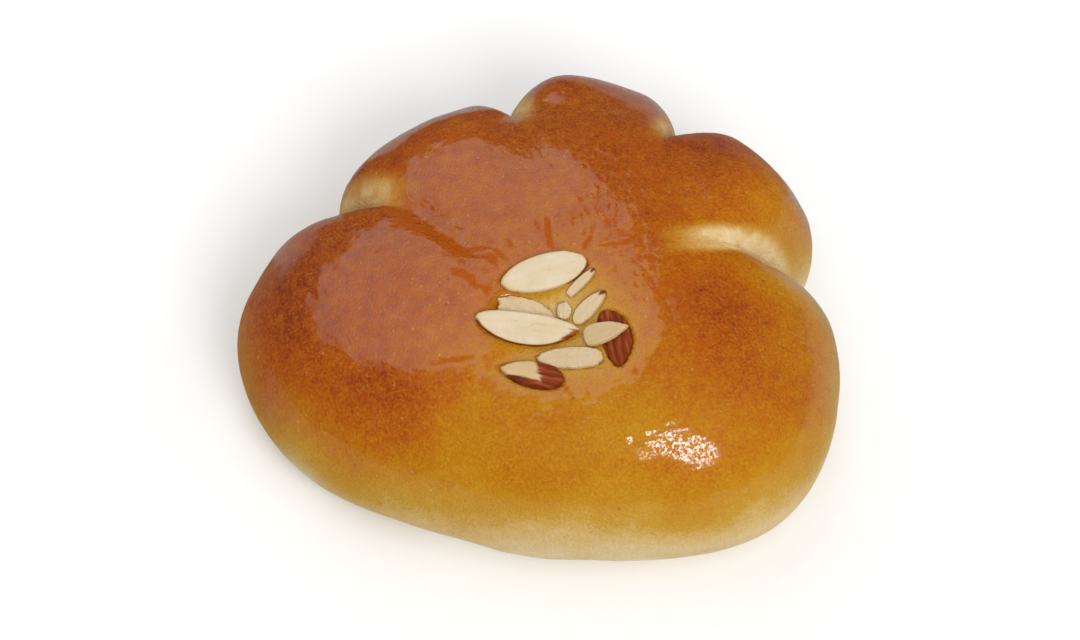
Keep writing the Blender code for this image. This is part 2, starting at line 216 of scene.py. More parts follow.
# Zones of fine relief: middle in plan, half sizes, turn of the zone in degrees, size of the grains, depth,
# and for separate beads the noise level over which a bead stands out
GRAIN_ZONES = (
    ((24.0, 14.0), (14.0, 20.0), 20.0, 1.5, 0.09, None),
    ((27.0, -9.0), (11.0, 13.0), 0.0, 1.4, 0.07, None),
    ((-15.5, 2.5), (13.0, 4.0), -42.0, 1.3, 0.12, None),
    ((0.0, 0.0), (66.0, 56.0), 0.0, 1.2, 0.050, None),
    ((-33.0, 24.0), (12.0, 12.0), 0.0, 1.5, 0.08, None),
    ((25.0, -43.0), (16.0, 9.0), 0.0, 0.90, 0.05, None),
    ((0.0, 0.0), (62.0, 52.0), 0.0, 1.3, 0.07, 0.55),
    ((13.0, -38.5), (17.0, 7.0), 0.0, 1.0, 0.23, 0.30),
)
BEAD_RISE = 0.35

# Places that the egg wash left dull: middle in plan, half sizes, turn in degrees, and how dull they are
DULL_PATCHES = (
    ("flank of the left back toe", (-34.8, 17.0), (7.0, 11.0), 4.0, 1.0),
    ("edge of the left back toe", (-19.0, 31.0), (14.0, 3.6), 28.0, 1.0),
    ("crest of the right back toe", (36.0, 21.0), (17.0, 14.0), 0.0, 0.80),
    ("rim of the left lobe", (-62.0, -8.0), (9.5, 24.0), 0.0, 0.75),
)

# Heights over which the egg wash comes on, how far they wander, and how dull a broken mark is
WASH_STARTS = 12.0
WASH_FULL = 34.0
WASH_WANDER = 3.0
MARK_DULLNESS = 0.92

# Where the egg wash dried in fine beads: middle in plan and half sizes
BEADED_MIDDLE = (25.0, -44.0)
BEADED_HALF = (13.0, 8.0)

# Bake of the crust by height over the table, for four sides: direction of the side and level at each height
BAKE_HEIGHTS = (0.0, 8.0, 14.0, 20.0, 27.0, 34.0, 41.0, 46.0)
BAKE_SIDES = (
    ("front", 266.0, (0.03, 0.04, 0.07, 0.15, 0.35, 0.48, 0.50, 0.54)),
    ("left", 188.0, (0.05, 0.16, 0.36, 0.58, 0.74, 0.80, 0.80, 0.78)),
    ("right", -12.0, (0.03, 0.07, 0.16, 0.30, 0.49, 0.63, 0.72, 0.74)),
    ("back", 90.0, (0.10, 0.24, 0.42, 0.60, 0.74, 0.82, 0.78, 0.74)),
)
SIDE_FOCUS = 3.2
STREAK_SHIFT = 0.8
PATCH_SHIFT = 3.0

# Paler and browner places of the crust: middle in plan, half sizes, change of level
BAKE_PATCHES = (
    ("gold in front of the almonds", (-13.0, -41.0), (8.0, 7.0), -0.11),
    ("gold beside the gloss spot", (19.0, -38.5), (10.0, 5.0), -0.08),
    ("amber under the almonds", (4.0, -38.0), (16.0, 6.0), 0.04),
    ("lower left lobe", (-30.0, -33.0), (9.0, 8.0), 0.13),
    ("gold pool between the almonds", (3.0, -14.5), (5.5, 3.0), -0.16),
    ("amber cheek of the right toe", (50.0, 12.0), (9.0, 11.0), -0.19),
    ("crest beside the right slit", (50.0, -4.0), (9.0, 7.0), -0.24),
    ("pale end of the right slit", (33.0, 2.0), (6.0, 7.0), -0.20),
    ("brown right of the dimple", (35.0, -15.0), (9.0, 8.0), 0.12),
    ("dark rim of the left lobe", (-48.0, 9.0), (14.0, 8.0), 0.02),
    ("lower left rim", (-52.0, -36.0), (9.0, 8.0), -0.24),
    ("dark left cheek", (-50.0, -12.0), (8.0, 12.0), 0.10),
    ("dark back toe", (12.0, 42.0), (14.0, 9.0), -0.03),
    ("brown right back toe", (35.0, 28.0), (12.0, 9.0), 0.10),
)

# Change of bake: in the dimple, how far that reaches, beside each almond piece, by the slow patches, in the
# marks, and on the pale walls; then the streaks of the pale walls, and the bake of the underside
DIMPLE_PALER = 0.16
DIMPLE_REACH = 14.0
BESIDE_PALER = 0.08
PATCH_CHANGE = 0.05
MARK_BROWNER = 0.03
PALE_WALL_SHARE = 0.35
PALE_STREAKS = 0.45
BASE_BAKE = 0.35

# Camera: height of the view over the table, distance, lens for a 36 mm wide picture, and the point it faces
VIEW_ELEVATION = 58.0
VIEW_DISTANCE = 560.0
LENS = 88.56
PICTURE_WIDTH = 36.0
VIEW_POINT = (0.6, -0.8, 15.0)

# Table top: half its side, its colour, and its colour where it mirrors in the crust
FLOOR_HALF = 4000.0
FLOOR_COLOUR = (0.92, 0.92, 0.92, 1.0)
FLOOR_MIRRORED = (0.38, 0.38, 0.38, 1.0)

# Lights: strength of the pale room, and how wide the fills are as seen from the bun, in degrees
ROOM_STRENGTH = 0.22
FILL_SPREAD = 70.0


# Nodes of a material in one row of its layout
NODES_IN_ROW = 12


def angle_between(a, b):
    """Signed angle from b to a, between -pi and pi."""
    return (a - b + np.pi) % (2 * np.pi) - np.pi


def smooth_step(low, high, value):
    """Zero below low, one above high, and a smooth cubic rise between them."""
    t = np.clip((value - low) / (high - low), 0, 1)
    return t * t * (3 - 2 * t)


def lattice_value(cell, seed):
    """A value from 0 to 1 that belongs to each whole-number cell: its three numbers mixed and folded."""
    mixed = (cell[..., 0] * 73856093) ^ (cell[..., 1] * 19349663)
    mixed = mixed ^ (cell[..., 2] * 83492791) ^ (seed * 9176131)
    mixed = mixed & 0xFFFFFFFF
    mixed = ((mixed ^ (mixed >> 13)) * 1274126177) & 0xFFFFFFFF
    mixed = mixed ^ (mixed >> 16)
    return (mixed & 0xFFFF) / 65535.0


def noise(points, size, seed=0):
    """Smooth noise from -1 to 1: the values of the eight cell corners round each point, blended by cubics."""
    place = np.asarray(points) / size
    cell = np.floor(place).astype(np.int64)
    part = place - cell
    part = part * part * (3 - 2 * part)
    total = np.zeros(place.shape[:-1])
    for corner in np.ndindex(2, 2, 2):
        weight = np.prod(np.where(np.array(corner) == 1, part, 1 - part), axis=-1)
        total += weight * lattice_value(cell + np.array(corner), seed)
    return 2 * total - 1


def layered_noise(points, size, seed=0, layers=3):
    """Noise of halving size and weight, added up."""
    total = 0
    for layer in range(layers):
        total = total + noise(points, size / 2 ** layer, seed + layer) / 2 ** layer
    return total / (2 - 2 ** (1 - layers))


def ridged(points, size, seed=0):
    """Sharp creases: one along the lines where the noise crosses zero, falling to zero beside them."""
    return 1 - np.clip(np.abs(noise(points, size, seed)) * 3.0, 0, 1)


def outline(turn):
    """Distance from the fan point to the widest line of the dough in each direction, before the notches."""
    c = np.cos(turn - math.radians(TURN))
    s = np.sin(turn - math.radians(TURN))
    reach_x = np.where(c >= 0, REACH_RIGHT, REACH_LEFT)
    reach_y = np.where(s >= 0, REACH_BACK, REACH_FRONT)
    back = np.where(c >= 0, SQUARE_BACK_RIGHT, SQUARE_BACK_LEFT)
    front = np.where(c >= 0, SQUARE_FRONT_RIGHT, SQUARE_FRONT_LEFT)
    power = np.where(s >= 0, back, front)
    reach = (np.abs(c / reach_x) ** power + np.abs(s / reach_y) ** power) ** (-1 / power)
    for _, middle, spread, rise in SWELLS:
        away = angle_between(turn, math.radians(middle)) / math.radians(spread)
        reach = reach + rise * np.exp(-away ** 2)
    return reach


def dome_rise(climb):
    """Height of the dome where a column has climbed by an angle from the widest line (0) to the top (90)."""
    return WIDEST_AT + (HEIGHT - WIDEST_AT) * np.sin(climb) ** (2 / ROUND_SIDE)


def dimple(x, y):
    """Depth of the dimple: a bell centred under the almonds."""
    return DIMPLE_DEPTH * np.exp(-((x - DIMPLE_X) / DIMPLE_RX) ** 2 - ((y - DIMPLE_Y) / DIMPLE_RY) ** 2)


def dough_top(x, y):
    """Height of the smooth dome over a place on top, dimple included, away from the slits."""
    dx, dy = x - FAN_X, y - FAN_Y
    share = np.hypot(dx, dy) / outline(np.arctan2(dy, dx))
    climb = np.arccos(np.clip(share, 0, 1) ** (ROUND_PLAN / 2))
    return dome_rise(climb) - dimple(x, y)


def along_line(plan, start, end):
    """Places in plan as seen from a line: how far along it, how far to its left, and how far from its end."""
    start, end = np.array(start), np.array(end)
    length = np.linalg.norm(end - start)
    along = (plan - start) @ (end - start) / length
    across = (plan - start) @ np.array([start[1] - end[1], end[0] - start[0]]) / length
    return along, across, length - along


def valley(x, y):
    """Depth of the valley: a bell across its line, which rises before its start and fades toward its end."""
    along, across, left = along_line(np.stack([x, y], axis=-1), VALLEY["start"], VALLEY["end"])
    length = along + left
    ends = smooth_step(-0.3 * length, 0.25 * length, along) * smooth_step(0, 0.45 * length, left)
    return VALLEY["depth"] * ends * np.exp(-(across / VALLEY["half_width"]) ** 2)


def column_turns():
    """Directions of the columns: even in each sector, then drawn toward the slits at its two ends."""
    edges = [math.radians(slit["turn"]) for slit in SLITS]
    edges.append(edges[0] + 2 * math.pi)
    turns = []
    for start, end, count in zip(edges[:-1], edges[1:], COLUMNS):
        t = np.arange(count) / count
        t = t - CROWDING * np.sin(2 * np.pi * t) / (2 * np.pi)
        turns.append(start + (end - start) * t)
    return np.concatenate(turns)


def cusp(q):
    """One at the slit, falling to zero at the toe's shoulder, with the toe's corner a quarter circle."""
    q = np.clip(q, 0, 1)
    return 1 - np.sqrt(1 - (1 - q) ** 2)


def fold_depth(turn, z):
    """Depth of the groove where the dough folds over itself, low on the front left."""
    along = np.exp(-(angle_between(turn, math.radians(FOLD["turn"])) / math.radians(FOLD["spread"])) ** 4)
    across = np.exp(-((z - FOLD["height"]) / FOLD["half_height"]) ** 2)
    return FOLD["depth"] * along * across


def pale_walls(slit, away, inner):
    """How pale a slit's walls are: full at its floor, falling to zero up each wall and at its inner end."""
    before, after, farther, share, strength = slit["pale"]
    inside = np.minimum(inner, 1)
    reach_up = np.where(away < 0, before, after) * (1 + (farther - 1) * inside)
    up_the_wall = smooth_step(1.35, 0.45, np.abs(away) / reach_up)
    along = smooth_step(share + 0.12, share - 0.18, inner)
    return up_the_wall * along * strength * (1 - PALE_FADE_INWARD * inside)


def cut_slit(slit, turn, low, climb, r_open, r, z):
    """Draw the grid in to the floor of one slit, from its notch to its inner end; also gives its paleness."""
    away = angle_between(turn, math.radians(slit["turn"]))
    reach = outline(np.array([math.radians(slit["turn"])]))[0]
    r_notch = reach - slit["notch"]
    r_end = reach - slit["length"]
    climb_end = math.acos((r_end / reach) ** (ROUND_PLAN / 2))
    z_end = dome_rise(climb_end)
    u = np.clip(climb / climb_end, 0, 1)
    run_in = r_notch + (r_end - r_notch) * u ** SLIT_RUN_POWER
    rise = SLIT_FOOT + (z_end - SLIT_FOOT) * u ** SLIT_RISE_POWER
    floor_r = np.concatenate([r_notch - SLIT_LEAN * (1 - low), run_in])
    floor_z = np.concatenate([SLIT_FOOT * low, rise])
    side = np.where(away < 0, slit["before"], slit["after"])
    narrowing = np.concatenate([np.ones_like(low), 1 - (1 - SLIT_TIP_WIDTH) * u])
    fade = np.concatenate([np.ones_like(low), 1 - u ** 5])
    pull = cusp(np.abs(away) * r_open / (side * narrowing)) * fade
    pull = np.where(np.abs(away) > 1.2, 0, pull)
    pale = pale_walls(slit, away * r_open, np.concatenate([0 * low, climb / climb_end]))
    return r * (1 - pull) + floor_r * pull, z * (1 - pull) + floor_z * pull, pale


def dough_grid():
    """Rings by columns of the dough's skin, and for each point how pale its slit is, and its direction."""
    turn = column_turns()[None, :]
    reach = outline(turn)
    arc = math.radians(BASE_ARC)
    low = (np.arange(RINGS_LOW) / RINGS_LOW)[:, None]
    climb = (np.linspace(0, np.pi / 2, RINGS_UP + 1)[:-1])[:, None]
    under = (1 - low) * arc
    r_low = reach - BASE_INSET * (1 - np.cos(under)) / (1 - math.cos(arc))
    z_low = WIDEST_AT * (1 - np.sin(under) / math.sin(arc)) + 0 * reach
    r_low = r_low - fold_depth(turn, z_low)
    r_up = reach * np.cos(climb) ** (2 / ROUND_PLAN)
    z_up = dome_rise(climb) + 0 * reach
    for toe in TOES:
        swell = np.sin(np.pi * np.clip(climb / math.radians(toe["ends_at"]), 0, 1)) ** 2
        start = math.radians(SLITS[toe["from"]]["turn"])
        end = math.radians(SLITS[toe["to"]]["turn"])
        across = np.clip((turn - start) / (end - start), 0, 1)
        z_up = z_up + toe["rise"] * swell * np.sin(np.pi * across ** toe["skew"]) ** toe["flanks"]
    r_open = np.concatenate([r_low, r_up])
    r = r_open.copy()
    z = np.concatenate([z_low, z_up])
    pale = np.zeros_like(z)
    for slit in SLITS:
        r, z, pale_here = cut_slit(slit, turn, low, climb, r_open, r, z)
        pale = np.maximum(pale, pale_here)
    x = FAN_X + r * np.cos(turn)
    y = FAN_Y + r * np.sin(turn)
    z = np.where(z > WIDEST_AT, z - dimple(x, y) - valley(x, y), z)
    return np.stack([x, y, z], axis=-1), pale, turn + 0 * z


def grid_normals(grid):
    """Outward directions of a closed ring grid: the cross product of its steps round and up."""
    step_round = np.roll(grid, -1, axis=1) - np.roll(grid, 1, axis=1)
    step_up = np.gradient(grid, axis=0)
    normal = np.cross(step_round, step_up)
    return normal / (np.linalg.norm(normal, axis=-1, keepdims=True) + 1e-9)


def oval_offset(grid, middle, half, turn):
    """Distance in plan from the middle of an oval patch, in its half sizes; its turn is in degrees."""
    dx, dy = grid[..., 0] - middle[0], grid[..., 1] - middle[1]
    c, s = math.cos(math.radians(turn)), math.sin(math.radians(turn))
    return np.hypot((dx * c + dy * s) / half[0], (dy * c - dx * s) / half[1])


def creases(grid):
    """Depth and mark of the pressed creases: bells across each line, which fade at its ends."""
    depth_here, mark = np.zeros(grid.shape[:-1]), np.zeros(grid.shape[:-1])
    wander = CREASE_WANDER * noise(grid, 3.0, 41)
    for start, end, half, depth in CREASES:
        along, across, left = along_line(grid[..., :2], start, end)
        ends = smooth_step(-0.5, 1.6, along) * smooth_step(-0.5, 1.6, left)
        bell = ends * np.exp(-((across + wander) / half) ** 2)
        depth_here = np.maximum(depth_here, depth * bell)
        mark = np.maximum(mark, smooth_step(0.2, 0.7, bell))
    on_top = grid[..., 2] > WIDEST_AT
    return np.where(on_top, depth_here, 0), np.where(on_top, mark, 0)


def wrinkles(grid):
    """Share of broken crust: in each band, noise drawn out along its line and cut off at a level."""
    total = np.zeros(grid.shape[:-1])
    wander = WRINKLE_WANDER * noise(grid, 5.0, 43)
    for seed, (_, start, end, half, long, wide, fill) in enumerate(WRINKLES):
        along, across, left = along_line(grid[..., :2], start, end)
        across = across + wander
        ends = smooth_step(-half, half, along) * smooth_step(-half, half, left)
        band = ends * np.exp(-(across / half) ** 2)
        place = np.stack([along / long, across / wide, 0 * along], axis=-1)
        value = layered_noise(place, 1.0, 50 + seed, layers=2) - 0.7 * (1 - band)
        broken = smooth_step(0.08, 0.4, band) * smooth_step(0.10 - fill, 0.30 - fill, value)
        total = np.maximum(total, broken)
    return np.where(grid[..., 2] > WIDEST_AT, total, 0)


def grain_relief(grid):
    """Fine uneven relief: layered noise of each zone's grain size, or its peaks alone, in a rounded patch."""
    total = np.zeros(grid.shape[:-1])
    for middle, half, turn, size, depth, cut in GRAIN_ZONES:
        inside = np.exp(-oval_offset(grid, middle, half, turn) ** 3)
        if cut is None:
            value = layered_noise(grid, size, 11, layers=2)
        else:
            value = smooth_step(cut, cut + BEAD_RISE, noise(grid, size, 13))
        total += depth * inside * value
    return np.where(grid[..., 2] > WIDEST_AT, total, 0)


def almond_frame(piece):
    """Place an almond piece: the matrix that lays its own flat slab on the dough, tilted as listed."""
    yaw = math.radians(piece["yaw"])
    along = np.array([math.cos(yaw), math.sin(yaw)])
    across = np.array([-math.sin(yaw), math.cos(yaw)])
    spot = np.array([piece["x"], piece["y"]])
    reach_u, reach_v = 0.35 * piece["length"], 0.35 * piece["width"]
    tops = [float(dough_top(*(spot + step))) for step in
            (reach_u * along, -reach_u * along, reach_v * across, -reach_v * across)]
    slope_u = math.atan2(tops[0] - tops[1], 2 * reach_u) + math.radians(piece["pitch"])
    slope_v = math.atan2(tops[2] - tops[3], 2 * reach_v) + math.radians(piece["roll"])
    height = sum(tops) / 4 + piece["lift"] + piece["thick"] / 2
    turn = Matrix.Rotation(yaw, 4, "Z") @ Matrix.Rotation(-slope_u, 4, "Y") @ Matrix.Rotation(slope_v, 4, "X")
    return Matrix.Translation(Vector((piece["x"], piece["y"], height))) @ turn


def half_width(piece, s):
    """Half the width of an almond piece at s, which runs from -1 at its left tip to 1 at its right tip."""
    widest = piece["widest"]
    span = np.where(s < widest, 1 + widest, 1 - widest)
    q = np.clip(np.abs(s - widest) / span, 0, 1)
    tip = np.where(s < widest, piece["tips"][0], piece["tips"][1])
    return piece["width"] / 2 * (1 - q ** 2.2) ** tip


def press_in(grid):
    """Dent the dough under each almond piece; also gives how near each place is to a piece, from 0 to 1."""
    x, y, z = grid[..., 0], grid[..., 1], grid[..., 2]
    nearness = np.zeros_like(z)
    for piece in ALMONDS.values():
        pose = np.array(almond_frame(piece))
        centre, normal = pose[:3, 3], pose[:3, 2]
        dx, dy = x - centre[0], y - centre[1]
        under = (-piece["thick"] / 2 - normal[0] * dx - normal[1] * dy) / normal[2]
        u = dx * pose[0, 0] + dy * pose[1, 0] + under * pose[2, 0]
        v = dx * pose[0, 1] + dy * pose[1, 1] + under * pose[2, 1]
        s = np.clip(2 * u / piece["length"], -1, 1)
        half = half_width(piece, s)
        beyond_tip = np.abs(u) - piece["length"] / 2
        beyond_side = np.abs(v - piece["bow"] * (1 - s ** 2)) - half
        beyond = np.maximum(beyond_tip, beyond_side)
        limit = centre[2] + under - CLEAR + DENT_SLOPE * np.maximum(beyond + BEDDED, 0)
        z = np.where(z > WIDEST_AT, np.minimum(z, limit), z)
        near = np.exp(-np.maximum(beyond, 0) / NEAR_REACH)
        nearness = np.maximum(nearness, np.where(z > WIDEST_AT, near, 0))
    return np.stack([x, y, z], axis=-1), nearness


def wash_level(grid, pale, marks):
    """How glossy the egg wash left the crust, from 0 (dry) to 1: by height, less in patches, slits, marks."""
    height = grid[..., 2] + WASH_WANDER * layered_noise(grid, 11.0, 15)
    wash = smooth_step(WASH_STARTS, WASH_FULL, height)
    ragged = 0.14 * layered_noise(grid, 2.4, 17, layers=2)
    for _, middle, half, turn, dullness in DULL_PATCHES:
        away = oval_offset(grid, middle, half, turn)
        wash = wash * (1 - dullness * smooth_step(1.06, 0.92, away + ragged))
    return wash * (1 - smooth_step(0.05, 0.6, pale)) * (1 - MARK_DULLNESS * marks)


def beaded_share(grid):
    """How far the egg wash dried in fine beads: a flat-topped bell in plan."""
    return np.exp(-oval_offset(grid, BEADED_MIDDLE, BEADED_HALF, 0.0) ** 4)


def bake_level(grid, pale, turn, marks, nearness):
    """How brown the crust is, from 0 (cream) to 1 (dark): by height, side, patches, almonds, marks, slits."""
    z = grid[..., 2]
    streaks = noise(np.stack([30 * np.cos(turn), 30 * np.sin(turn), z / 9], axis=-1), 3.4, 3)
    patches = layered_noise(grid, 15.0, 5)
    height = z + STREAK_SHIFT * streaks + PATCH_SHIFT * patches
    level, share = 0 * z, 0 * z
    for _, direction, levels in BAKE_SIDES:
        weight = np.exp(SIDE_FOCUS * np.cos(turn - math.radians(direction)))
        level = level + weight * np.interp(height, BAKE_HEIGHTS, levels)
        share = share + weight
    level = level / share
    for _, middle, half, change in BAKE_PATCHES:
        level = level + change * np.exp(-oval_offset(grid, middle, half, 0.0) ** 2)
    around = np.hypot((grid[..., 0] - DIMPLE_X) / 1.15, grid[..., 1] - DIMPLE_Y)
    level = level - DIMPLE_PALER * np.exp(-(around / DIMPLE_REACH) ** 2) - BESIDE_PALER * nearness
    level = level + PATCH_CHANGE * patches + (0.01 + 0.04 * level) * noise(grid, 2.4, 6)
    level = level + 0.045 * smooth_step(12.0, 30.0, z) * layered_noise(grid, 5.5, 7, layers=2)
    level = level + MARK_BROWNER * marks
    return np.clip(level * (1 - PALE_WALL_SHARE * pale), 0, 1)


def new_mesh_object(name, points, faces):
    """A smooth-shaded object from points in millimetres and faces as lists of corners."""
    mesh = bpy.data.meshes.new(name)
    mesh.from_pydata(points * MM, [], faces)
    mesh.validate()
    mesh.shade_smooth()
    obj = bpy.data.objects.new(name, mesh)
    bpy.context.collection.objects.link(obj)
    return obj


def ring_faces(rings, around):
    """Quads between neighbouring rings, each closed round, and two fans to the points before and after."""
    ring = np.arange(rings - 1)[:, None] * around
    here = np.arange(around)[None, :]
    after = (here + 1) % around
    quads = np.stack([ring + here, ring + after, ring + after + around, ring + here + around], axis=-1)
    here, after = here[0], after[0]
    last = (rings - 1) * around
    bottom = np.full(around, rings * around)
    fan_low = np.stack([bottom, after, here], axis=-1)
    fan_high = np.stack([last + here, last + after, bottom + 1], axis=-1)
    return quads.reshape(-1, 4).tolist() + fan_low.tolist() + fan_high.tolist()


def set_attributes(obj, **fields):
    """Store fields of one number for each point: a ring grid's values, then those of its two end points."""
    for name, (values, ends) in fields.items():
        layer = obj.data.attributes.new(name, "FLOAT", "POINT")
        layer.data.foreach_set("value", np.append(values, ends).astype(np.float32))


def make_bun(material):
    """The dough: skin grid, then lumps, creases and wrinkles along its normals, then the almonds' dents."""
    grid, pale, turn = dough_grid()
    normals = grid_normals(grid)
    off_base = smooth_step(0.5, 5.0, grid[..., 2])
    crease_depth, crease_marks = creases(grid)
    broken = wrinkles(grid) * (1 - smooth_step(0.0, 0.3, pale))
    grains = grain_relief(grid)
    lumps = sum(rise * layered_noise(grid, size, seed, layers) for rise, size, seed, layers in LUMPS)
    relief = (lumps + grains - crease_depth - WRINKLE_DEPTH * broken) * off_base
    grid = grid + normals * relief[..., None]
    grid, nearness = press_in(grid)
    marks = np.maximum(crease_marks, broken)
    bake = bake_level(grid, pale, turn, marks, nearness)
    streaky = np.clip(pale * (1 + PALE_STREAKS * layered_noise(grid, 2.4, 19)), 0, 1)
    ends = np.array([[FAN_X, FAN_Y, 0.0], [FAN_X, FAN_Y, grid[-1, :, 2].mean()]])
    bun = new_mesh_object("sweet_bun", np.concatenate([grid.reshape(-1, 3), ends]), ring_faces(*bake.shape))
    set_attributes(bun, bake=(bake, [BASE_BAKE, bake[-1].mean()]), mark=(marks, [0, 0]),
                   wash=(wash_level(grid, pale, marks), [0, 1]), pale=(streaky, [0, 0]),
                   beaded=(beaded_share(grid), [0, 0]))
    bun.data.materials.append(material)
    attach(bun, "root")
    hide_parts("bun")


def skin_mask(finish, turn, size, ragged, u, v):
    """Where an almond piece keeps its brown skin: stretches of the rim, as deep as listed, and its cut."""
    mask = np.zeros(u.shape)
    if "cut" in finish:
        along, front = finish["cut"]
        wander = 0.25 * ragged
        mask = np.maximum(smooth_step(-0.15, 0.25, u - along + 0.5 * v + wander),
                          smooth_step(-0.12, 0.2, front - v + 0.5 * wander))
    degrees = np.degrees(turn)
    for start, end, depth in finish["skins"]:
        middle, half = (start + end) / 2, (end - start) / 2
        off = np.abs((degrees - middle + 180) % 360 - 180)
        along = smooth_step(half + 6, half - 4, off) if half < 180 else 1.0
        edge = 1 - depth * (1 + 0.35 * ragged)
        mask = np.maximum(mask, along * smooth_step(edge - 0.035, edge + 0.01, size + 0 * u))
    return mask


def almond_profile():
    """Sizes and levels of the rings from the underside, round the edge, to the top: a rounded bar."""
    lift = np.linspace(-np.pi / 2, np.pi / 2, EDGE_RINGS)
    edge = np.where(lift < 0, 0.97 + 0.03 * np.cos(lift), 0.86 + 0.14 * np.cos(lift) ** 0.6)
    level = 0.5 * np.sign(lift) * np.abs(np.sin(lift)) ** 0.8
    flat = np.array(FACE_SIZES)
    sizes = np.concatenate([flat, edge, flat[::-1]])
    levels = np.concatenate([0 * flat - 0.5, level, 0 * flat + 0.5])
    return sizes[:, None], levels[:, None]


def make_almond(name, piece, finish, material):
    """One almond slab: rings of its outline, with grain and ridges on its faces, laid in its place."""
    turn = (2 * np.pi * np.arange(AROUND) / AROUND)[None, :]
    size, level = almond_profile()
    s = np.cos(turn)
    rim = np.stack([6 * np.cos(turn), 6 * np.sin(turn), 0 * turn + 3.7 * piece["length"]], axis=-1)
    ragged = noise(rim, 1.6, 5) + 0.5 * noise(rim, 0.7, 6)
    scale = size * (1 + finish["ragged"] * ragged)
    u = s * piece["length"] / 2 * scale
    v = np.sign(np.sin(turn)) * half_width(piece, s) * scale + piece["bow"] * (1 - s ** 2)
    rise = level * piece["thick"] + piece["arch"] * (1 - size ** 2 * np.abs(np.sin(turn)))
    place = np.stack([u / 4.0, v, rise + 5 * piece["x"]], axis=-1)
    coarse = np.stack([u / 1.6, v, rise + 9 * piece["x"]], axis=-1)
    skin = skin_mask(finish, turn, size, ragged, u, v)
    core = np.exp(-((v - piece["bow"] * (1 - s ** 2)) / (CORE_WIDTH * piece["width"])) ** 2) * (1 - size ** 3)
    top = smooth_step(0.0, 0.5, level)
    grain = layered_noise(coarse, 1.1, 8) * finish["rough"] + FIBRE_DEPTH * noise(place, 0.35, 9)
    ridges = RIDGE_DEPTH * (ridged(place, RIDGE_SIZE, 12) - 0.5)
    rise = rise + top * (grain * (1 - skin) + ridges * skin)
    local = np.stack([u, v, rise], axis=-1)
    ends = np.array([[0, piece["bow"], local[0, :, 2].mean()], [0, piece["bow"], local[-1, :, 2].mean()]])
    local = np.concatenate([local.reshape(-1, 3), ends])
    pose = np.array(almond_frame(piece))
    points = local @ pose[:3, :3].T + pose[:3, 3]
    slab = new_mesh_object(name + "_slice", points, ring_faces(*u.shape))
    set_attributes(slab, skin=(skin, [skin[0].mean(), skin[-1].mean()]), edge=(size + 0 * turn, [0, 0]),
                   core=(core, [1, 1]), wet=(np.full(len(local), finish["wet"]), []),
                   gold=(np.full(len(local), finish["gold"]), []), along=(local[:, 0], []),
                   across=(local[:, 1], []))
    slab.data.materials.append(material)
    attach(slab, "root")
    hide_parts(name)


def feed(tree, socket, value):
    """Link another node's output into a socket, or set the socket to a number or colour."""
    if isinstance(value, (int, float, tuple)):
        socket.default_value = value
    else:
        tree.links.new(value, socket)


def add_node(tree, kind, **settings):
    """A node of a kind, laid out in rows as they are made; settings whose names are sockets feed them."""
    row, column = divmod(len(tree.nodes), NODES_IN_ROW)
    node = tree.nodes.new(kind)
    node.location = (200 * column, -300 * row)
    for key, value in settings.items():
        if key in node.inputs:
            feed(tree, node.inputs[key], value)
        else:
            setattr(node, key, value)
    return node


def feed_all(tree, node, values):
    """Feed a node's inputs by their names."""
    for key, value in values.items():
        feed(tree, node.inputs[key], value)


def add_math(tree, operation, *values):
    """A math node fed by sockets or numbers; returns its output."""
    node = add_node(tree, "ShaderNodeMath", operation=operation)
    for socket, value in zip(node.inputs, values):
        feed(tree, socket, value)
    return node.outputs[0]


def scaled(tree, value, factor, offset=0.0):
    """A value times a factor, plus an offset: each a socket or a number."""
    return add_math(tree, "MULTIPLY_ADD", value, factor, offset)


def mix_colour(tree, factor, first, second):
    """A colour mix node fed by sockets or colours; returns its output."""
    node = add_node(tree, "ShaderNodeMix", data_type="RGBA")
    for index, value in ((0, factor), (6, first), (7, second)):
        feed(tree, node.inputs[index], value)
    return node.outputs[2]


def tint(tree, colour, mask, layer):
    """Lay a layer's colour over another colour where a mask says, at the layer's strength."""
    strength, over = layer
    return mix_colour(tree, scaled(tree, mask, strength), colour, over)


def add_ramp(tree, source, stops):
    """A colour ramp fed by a socket, with stops of position and linear colour; returns its output."""
    node = add_node(tree, "ShaderNodeValToRGB")
    ramp = node.color_ramp
    while len(ramp.elements) < len(stops):
        ramp.elements.new(1.0)
    for element, (position, colour) in zip(ramp.elements, stops):
        element.position = position
        element.color = (*colour, 1.0)
    tree.links.new(source, node.inputs[0])
    return node.outputs[0]


def new_group(name, inputs, outputs):
    """A shader node group with number inputs and outputs by name; returns the group and its two end nodes."""
    group = bpy.data.node_groups.new(name, "ShaderNodeTree")
    for label in inputs:
        group.interface.new_socket(label, in_out="INPUT", socket_type="NodeSocketFloat")
    for label in outputs:
        group.interface.new_socket(label, in_out="OUTPUT", socket_type="NodeSocketFloat")
    start = add_node(group, "NodeGroupInput")
    end = add_node(group, "NodeGroupOutput")
    return group, start, end


def mottle_group():
    """Soft blotches and fine grain: two noises, the fine one weighted, added about zero, and a height."""
    inputs = ("Blotch Scale", "Grain Scale", "Grain Share")
    group, start, end = new_group("mottle", inputs, ("Mottle", "Height"))
    place = add_node(group, "ShaderNodeTexCoord").outputs["Object"]
    sums = []
    for label, detail in (("Blotch Scale", 3.0), ("Grain Scale", 2.0)):
        texture = add_node(group, "ShaderNodeTexNoise", Vector=place, Scale=start.outputs[label],
                           Detail=detail, Roughness=0.55)
        sums.append(add_math(group, "SUBTRACT", texture.outputs["Fac"], 0.5))
    both = scaled(group, sums[1], start.outputs["Grain Share"], sums[0])
    group.links.new(both, end.inputs["Mottle"])
    group.links.new(sums[1], end.inputs["Height"])
    return group


